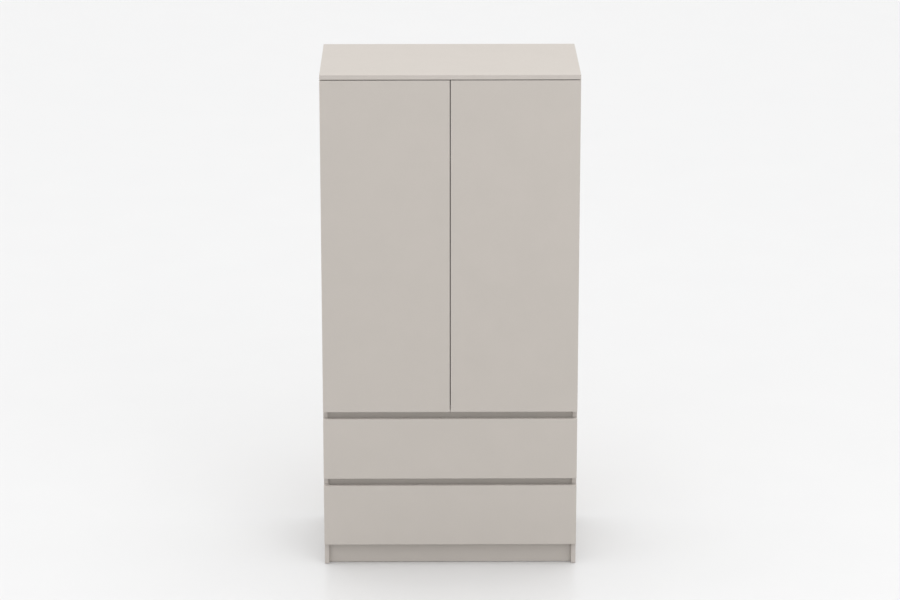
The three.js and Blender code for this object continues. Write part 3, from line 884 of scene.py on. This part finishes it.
SOFT_PAD = pad_tree()
for name, sign in SIDES.items():
    low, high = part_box(f"door_{name}")
    panel = middle_of("middle_panel").z
    places = [((sign * across, high.y, panel), REARWARDS) for across in (PAD_NEAR_SEAM, PAD_NEAR_HINGE)]
    grown(f"door_pads_{name}", SOFT_PAD, f"{name}_door", "plastic", CLEAR_PLASTIC, places)
for drawer in ("upper", "lower"):
    low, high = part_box(f"{drawer}_drawer_front")
    places = [
        ((sign * (HIGH.x - PAD_FROM_SIDE), high.y, height), REARWARDS)
        for sign in SIDES.values() for height in (low.z + PAD_FROM_EDGE, high.z - PAD_FROM_EDGE)
    ]
    grown(f"{drawer}_drawer_pads", SOFT_PAD, f"{drawer}_drawer", "plastic", CLEAR_PLASTIC, places)

# %% [markdown]
# ## Nails in the back and balls in the runners
#
# Both repeat along a path. The back sheets are nailed to the edges of the carcass about
# every twelve centimetres: the tree takes a rectangle of four lines, resamples it to that
# spacing and sets a flat nail head on each point. The balls sit close together in the
# tracks between the members of a runner, so their path is a straight line per track.

# %% A tree that follows lines
NAIL_HEAD_HEIGHT = 0.4 * MM
NAIL_TOP_SHARE = 0.8


def row_tree(name, make_bead, seed, **sizes):
    tree, given = shape_tree(name, spacing=0.1, **sizes)
    path = add_node(tree, "GeometryNodeMeshToCurve", {"Mesh": given["Geometry"]}).outputs[0]
    inputs = {"Curve": path, "Length": given["spacing"]}
    steps = add_node(tree, "GeometryNodeResampleCurve", inputs, mode="LENGTH")
    beads = add_node(tree, "GeometryNodeInstanceOnPoints", {
        "Points": steps.outputs[0], "Instance": make_bead(tree, given),
        "Rotation": turned_to_face(tree, seed),
    }).outputs[0]
    close_tree(tree, given, beads)
    return tree


def nail_head(tree, given):
    upper = math_of(tree, "MULTIPLY", given["radius"], NAIL_TOP_SHARE)
    return add_node(tree, "GeometryNodeMeshCone", {
        "Vertices": 12, "Radius Top": upper, "Radius Bottom": given["radius"], "Depth": NAIL_HEAD_HEIGHT,
    }).outputs[0]


def steel_ball(tree, given):
    inputs = {"Segments": 8, "Rings": 6, "Radius": given["radius"]}
    ball = add_node(tree, "GeometryNodeMeshUVSphere", inputs)
    return add_node(tree, "GeometryNodeSetShadeSmooth", {"Geometry": ball.outputs[0]}).outputs[0]


NAIL_ROW = row_tree("nail_row", nail_head, NAIL_SEED, radius=0.0018)
BALL_ROW = row_tree("ball_row", steel_ball, BALL_SEED, radius=0.0008)
print("row trees ready")

# %% Nail the back on
NAIL_INSET = 6 * MM
NAIL_SPACING = 0.12
LOOP = [(0, 1), (1, 2), (2, 3), (3, 0)]


def sheet_outline(node):
    low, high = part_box(node)
    left, right = low.x + NAIL_INSET, high.x - NAIL_INSET
    foot, head = low.z + NAIL_INSET, high.z - NAIL_INSET
    corners = [(left, foot), (right, foot), (right, head), (left, head)]
    return [((x, high.y, z), REARWARDS) for x, z in corners]


for sheet in ("back_panel_lower", "back_panel_upper"):
    grown(f"{sheet}_nails", NAIL_ROW, "carcass", "zinc_runner", BRIGHT_STEEL,
          sheet_outline(sheet), LOOP, spacing=NAIL_SPACING)

# %% Put the balls in the runners
TRACK_START, TRACK_END = 0.01, 0.19
OUTER_TRACK_ACROSS, OUTER_TRACK_LIFT = 7.5 * MM, 0.9 * MM
INNER_TRACK_ACROSS, INNER_TRACK_DROP = 9.4 * MM, 2.1 * MM
BALL_SPACING = 0.006


def ball_tracks(drawer):
    places, lines = [], []
    for name, sign in SIDES.items():
        low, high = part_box(f"{drawer}_runner_middle_{name}")
        middle = (low.z + high.z) / 2
        half = (high.z - low.z) / 2
        rear, front = (high.y - TRACK_END, high.y - TRACK_START), (low.y + TRACK_START, low.y + TRACK_END)
        outer_track = (OUTER_TRACK_ACROSS, half + OUTER_TRACK_LIFT, *rear)
        inner_track = (INNER_TRACK_ACROSS, half - INNER_TRACK_DROP, *front)
        for across, lift, start, end in (outer_track, inner_track):
            for way in (-1, 1):
                x = PANEL_FACE[name] - sign * across
                lines.append((len(places), len(places) + 1))
                places += [((x, y, middle + way * lift), (0, 0, 1)) for y in (start, end)]
    return places, lines


for drawer in ("upper", "lower"):
    places, lines = ball_tracks(drawer)
    grown(f"{drawer}_runner_balls", BALL_ROW, f"{drawer}_runner_middles", "zinc_runner", BRIGHT_STEEL,
          places, lines, spacing=BALL_SPACING)
